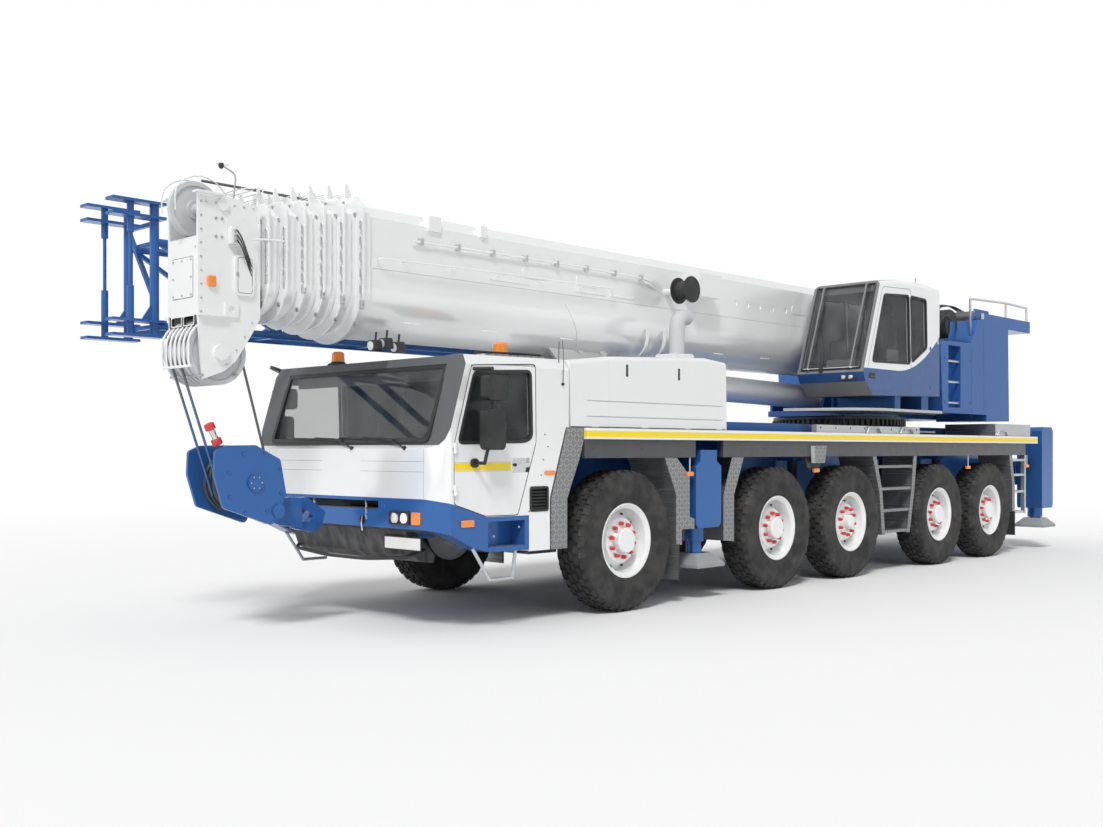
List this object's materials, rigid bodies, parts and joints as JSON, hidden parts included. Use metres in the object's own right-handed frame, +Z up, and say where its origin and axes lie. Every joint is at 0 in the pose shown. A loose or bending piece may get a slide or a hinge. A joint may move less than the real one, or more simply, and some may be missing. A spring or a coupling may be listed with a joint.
{
  "type": "mobile crane",
  "caption": "All-terrain mobile crane with a telescopic boom on a slewing turntable, steered wheels, sliding outriggers and a stowed lattice jib.",
  "frame": {"origin": "middle of the bounding box on the ground under the tyres", "axes": "+X forward along the boom, +Y to the left, +Z up"},
  "size_m": [15.75, 3.3691, 3.9818],
  "materials": {
    "white_paint": "gloss",
    "blue_paint": "gloss",
    "grey_paint": "satin",
    "dark_steel": "satin",
    "aluminium": "brushed",
    "tyre": "matte",
    "glass": "clear",
    "cab_trim": "matte",
    "amber": "gloss",
    "steel": "ground",
    "black_plastic": "matte"
  },
  "bodies": {
    "chassis": {"chassis_frame": "blue_paint", "carrier_deck": "blue_paint", "mudguards": "aluminium", "axle_beams": "dark_steel", "carrier_cab": "white_paint", "cab_glass": "glass", "bumper": "blue_paint", "lamps": "amber", "cab_interior": "cab_trim", "engine_cover": "white_paint", "engine": "dark_steel", "slew_ring": "dark_steel"},
    "turret": {"turret_frame": "blue_paint", "crane_cab": "white_paint", "crane_cab_glass": "glass", "crane_cab_seat": "cab_trim", "tail_housing": "blue_paint", "winches": "dark_steel"},
    "knuckle_1l": {"knuckle_1l": "dark_steel"},
    "wheel_1l": {"wheel_1l": "tyre"},
    "knuckle_1r": {"knuckle_1r": "dark_steel"},
    "wheel_1r": {"wheel_1r": "tyre"},
    "knuckle_2l": {"knuckle_2l": "dark_steel"},
    "wheel_2l": {"wheel_2l": "tyre"},
    "knuckle_2r": {"knuckle_2r": "dark_steel"},
    "wheel_2r": {"wheel_2r": "tyre"},
    "knuckle_3l": {"knuckle_3l": "dark_steel"},
    "wheel_3l": {"wheel_3l": "tyre"},
    "knuckle_3r": {"knuckle_3r": "dark_steel"},
    "wheel_3r": {"wheel_3r": "tyre"},
    "knuckle_4l": {"knuckle_4l": "dark_steel"},
    "wheel_4l": {"wheel_4l": "tyre"},
    "knuckle_4r": {"knuckle_4r": "dark_steel"},
    "wheel_4r": {"wheel_4r": "tyre"},
    "knuckle_5l": {"knuckle_5l": "dark_steel"},
    "wheel_5l": {"wheel_5l": "tyre"},
    "knuckle_5r": {"knuckle_5r": "dark_steel"},
    "wheel_5r": {"wheel_5r": "tyre"},
    "door_left": {"door_left": "white_paint"},
    "door_right": {"door_right": "white_paint"},
    "boom_1": {"boom_1": "white_paint", "jib": "blue_paint"},
    "boom_2": {"boom_2": "white_paint"},
    "boom_3": {"boom_3": "white_paint"},
    "boom_4": {"boom_4": "white_paint"},
    "boom_5": {"boom_5": "white_paint"},
    "boom_6": {"boom_6": "white_paint"},
    "boom_7": {"boom_7": "white_paint", "sheaves": "steel"},
    "hook_block": {"hook_block": "blue_paint"},
    "luff_barrel": {"luff_barrel": "white_paint"},
    "luff_rod": {"luff_rod": "steel"},
    "outrigger_fl": {"outrigger_fl": "blue_paint"},
    "jack_fl": {"jack_fl": "steel"},
    "outrigger_fr": {"outrigger_fr": "blue_paint"},
    "jack_fr": {"jack_fr": "steel"},
    "outrigger_rl": {"outrigger_rl": "blue_paint"},
    "jack_rl": {"jack_rl": "steel"},
    "outrigger_rr": {"outrigger_rr": "blue_paint"},
    "jack_rr": {"jack_rr": "steel"}
  },
  "joints": [
    {"name": "steer_1l", "type": "hinge", "parent": "chassis", "child": "knuckle_1l", "pos_m": [3.555, 1.2, 0.698], "axis": [0, 0, 1], "range_deg": [-32, 32]},
    {"name": "spin_1l", "type": "hinge", "parent": "knuckle_1l", "child": "wheel_1l", "pos_m": [3.555, 1.31, 0.698], "axis": [0, 1, 0], "continuous": true},
    {"name": "steer_1r", "type": "hinge", "parent": "chassis", "child": "knuckle_1r", "pos_m": [3.555, -1.2, 0.698], "axis": [0, 0, 1], "range_deg": [-32, 32]},
    {"name": "spin_1r", "type": "hinge", "parent": "knuckle_1r", "child": "wheel_1r", "pos_m": [3.555, -1.31, 0.698], "axis": [0, 1, 0], "continuous": true},
    {"name": "steer_2l", "type": "hinge", "parent": "chassis", "child": "knuckle_2l", "pos_m": [0.895, 1.2, 0.698], "axis": [0, 0, 1], "range_deg": [-20, 20]},
    {"name": "spin_2l", "type": "hinge", "parent": "knuckle_2l", "child": "wheel_2l", "pos_m": [0.895, 1.31, 0.698], "axis": [0, 1, 0], "continuous": true},
    {"name": "steer_2r", "type": "hinge", "parent": "chassis", "child": "knuckle_2r", "pos_m": [0.895, -1.2, 0.698], "axis": [0, 0, 1], "range_deg": [-20, 20]},
    {"name": "spin_2r", "type": "hinge", "parent": "knuckle_2r", "child": "wheel_2r", "pos_m": [0.895, -1.31, 0.698], "axis": [0, 1, 0], "continuous": true},
    {"name": "steer_3l", "type": "hinge", "parent": "chassis", "child": "knuckle_3l", "pos_m": [-0.755, 1.2, 0.698], "axis": [0, 0, 1], "range_deg": [-8, 8]},
    {"name": "spin_3l", "type": "hinge", "parent": "knuckle_3l", "child": "wheel_3l", "pos_m": [-0.755, 1.31, 0.698], "axis": [0, 1, 0], "continuous": true},
    {"name": "steer_3r", "type": "hinge", "parent": "chassis", "child": "knuckle_3r", "pos_m": [-0.755, -1.2, 0.698], "axis": [0, 0, 1], "range_deg": [-8, 8]},
    {"name": "spin_3r", "type": "hinge", "parent": "knuckle_3r", "child": "wheel_3r", "pos_m": [-0.755, -1.31, 0.698], "axis": [0, 1, 0], "continuous": true},
    {"name": "steer_4l", "type": "hinge", "parent": "chassis", "child": "knuckle_4l", "pos_m": [-3.15, 1.2, 0.698], "axis": [0, 0, -1], "range_deg": [-8, 8]},
    {"name": "spin_4l", "type": "hinge", "parent": "knuckle_4l", "child": "wheel_4l", "pos_m": [-3.15, 1.31, 0.698], "axis": [0, 1, 0], "continuous": true},
    {"name": "steer_4r", "type": "hinge", "parent": "chassis", "child": "knuckle_4r", "pos_m": [-3.15, -1.2, 0.698], "axis": [0, 0, -1], "range_deg": [-8, 8]},
    {"name": "spin_4r", "type": "hinge", "parent": "knuckle_4r", "child": "wheel_4r", "pos_m": [-3.15, -1.31, 0.698], "axis": [0, 1, 0], "continuous": true},
    {"name": "steer_5l", "type": "hinge", "parent": "chassis", "child": "knuckle_5l", "pos_m": [-4.8, 1.2, 0.698], "axis": [0, 0, -1], "range_deg": [-20, 20]},
    {"name": "spin_5l", "type": "hinge", "parent": "knuckle_5l", "child": "wheel_5l", "pos_m": [-4.8, 1.31, 0.698], "axis": [0, 1, 0], "continuous": true},
    {"name": "steer_5r", "type": "hinge", "parent": "chassis", "child": "knuckle_5r", "pos_m": [-4.8, -1.2, 0.698], "axis": [0, 0, -1], "range_deg": [-20, 20]},
    {"name": "spin_5r", "type": "hinge", "parent": "knuckle_5r", "child": "wheel_5r", "pos_m": [-4.8, -1.31, 0.698], "axis": [0, 1, 0], "continuous": true},
    {"name": "door_left", "type": "hinge", "parent": "chassis", "child": "door_left", "pos_m": [5.798, 1.465, 1.65], "axis": [0, 0, -1], "range_deg": [0, 70]},
    {"name": "door_right", "type": "hinge", "parent": "chassis", "child": "door_right", "pos_m": [5.798, -1.465, 1.65], "axis": [0, 0, 1], "range_deg": [0, 70]},
    {"name": "slew", "type": "hinge", "parent": "chassis", "child": "turret", "pos_m": [-2.945, 0, 2.06], "axis": [0, 0, 1], "continuous": true},
    {"name": "luff", "type": "hinge", "parent": "turret", "child": "boom_1", "pos_m": [-5.545, 0, 3.05], "axis": [0, -1, 0], "range_deg": [0, 82]},
    {"name": "extend_2", "type": "slide", "parent": "boom_1", "child": "boom_2", "axis": [1, 0, 0], "range_m": [0, 9.1]},
    {"name": "extend_3", "type": "slide", "parent": "boom_2", "child": "boom_3", "axis": [1, 0, 0], "range_m": [0, 9.1]},
    {"name": "extend_4", "type": "slide", "parent": "boom_3", "child": "boom_4", "axis": [1, 0, 0], "range_m": [0, 9.1]},
    {"name": "extend_5", "type": "slide", "parent": "boom_4", "child": "boom_5", "axis": [1, 0, 0], "range_m": [0, 9.1]},
    {"name": "extend_6", "type": "slide", "parent": "boom_5", "child": "boom_6", "axis": [1, 0, 0], "range_m": [0, 9.1]},
    {"name": "extend_7", "type": "slide", "parent": "boom_6", "child": "boom_7", "axis": [1, 0, 0], "range_m": [0, 9.1]},
    {"name": "hook_swing", "type": "hinge", "parent": "boom_7", "child": "hook_block", "pos_m": [7.305, 0, 2.395], "axis": [0, -1, 0], "range_deg": [-54, 0]},
    {"name": "luff_cylinder", "type": "hinge", "parent": "turret", "child": "luff_barrel", "pos_m": [-2.345, 0, 2.33], "axis": [0, -1, 0], "range_deg": [0, 97.93]},
    {"name": "luff_stroke", "type": "slide", "parent": "luff_barrel", "child": "luff_rod", "axis": [0.9998, 0, 0.0214], "range_m": [0, 3.868]},
    {"name": "outrigger_fl", "type": "slide", "parent": "chassis", "child": "outrigger_fl", "axis": [0, 1, 0], "range_m": [0, 1.55]},
    {"name": "jack_fl", "type": "slide", "parent": "outrigger_fl", "child": "jack_fl", "axis": [0, 0, -1], "range_m": [0, 0.55]},
    {"name": "outrigger_fr", "type": "slide", "parent": "chassis", "child": "outrigger_fr", "axis": [0, -1, 0], "range_m": [0, 1.55]},
    {"name": "jack_fr", "type": "slide", "parent": "outrigger_fr", "child": "jack_fr", "axis": [0, 0, -1], "range_m": [0, 0.55]},
    {"name": "outrigger_rl", "type": "slide", "parent": "chassis", "child": "outrigger_rl", "axis": [0, 1, 0], "range_m": [0, 1.55]},
    {"name": "jack_rl", "type": "slide", "parent": "outrigger_rl", "child": "jack_rl", "axis": [0, 0, -1], "range_m": [0, 0.55]},
    {"name": "outrigger_rr", "type": "slide", "parent": "chassis", "child": "outrigger_rr", "axis": [0, -1, 0], "range_m": [0, 1.55]},
    {"name": "jack_rr", "type": "slide", "parent": "outrigger_rr", "child": "jack_rr", "axis": [0, 0, -1], "range_m": [0, 0.55]}
  ],
  "couplings": [
    {"joint": "steer_1r", "follows": "steer_1l", "ratio": 1},
    {"joint": "steer_2l", "follows": "steer_1l", "ratio": 0.625},
    {"joint": "steer_2r", "follows": "steer_1l", "ratio": 0.625},
    {"joint": "steer_3l", "follows": "steer_1l", "ratio": 0.25},
    {"joint": "steer_3r", "follows": "steer_1l", "ratio": 0.25},
    {"joint": "steer_4l", "follows": "steer_1l", "ratio": 0.25},
    {"joint": "steer_4r", "follows": "steer_1l", "ratio": 0.25},
    {"joint": "steer_5l", "follows": "steer_1l", "ratio": 0.625},
    {"joint": "steer_5r", "follows": "steer_1l", "ratio": 0.625},
    {"joint": "hook_swing", "follows": "luff", "ratio": -0.65854},
    {"joint": "luff_cylinder", "follows": "luff", "ratio": 1.1942},
    {"joint": "luff_stroke", "follows": "luff", "m_per_rad": 2.7022}
  ]
}
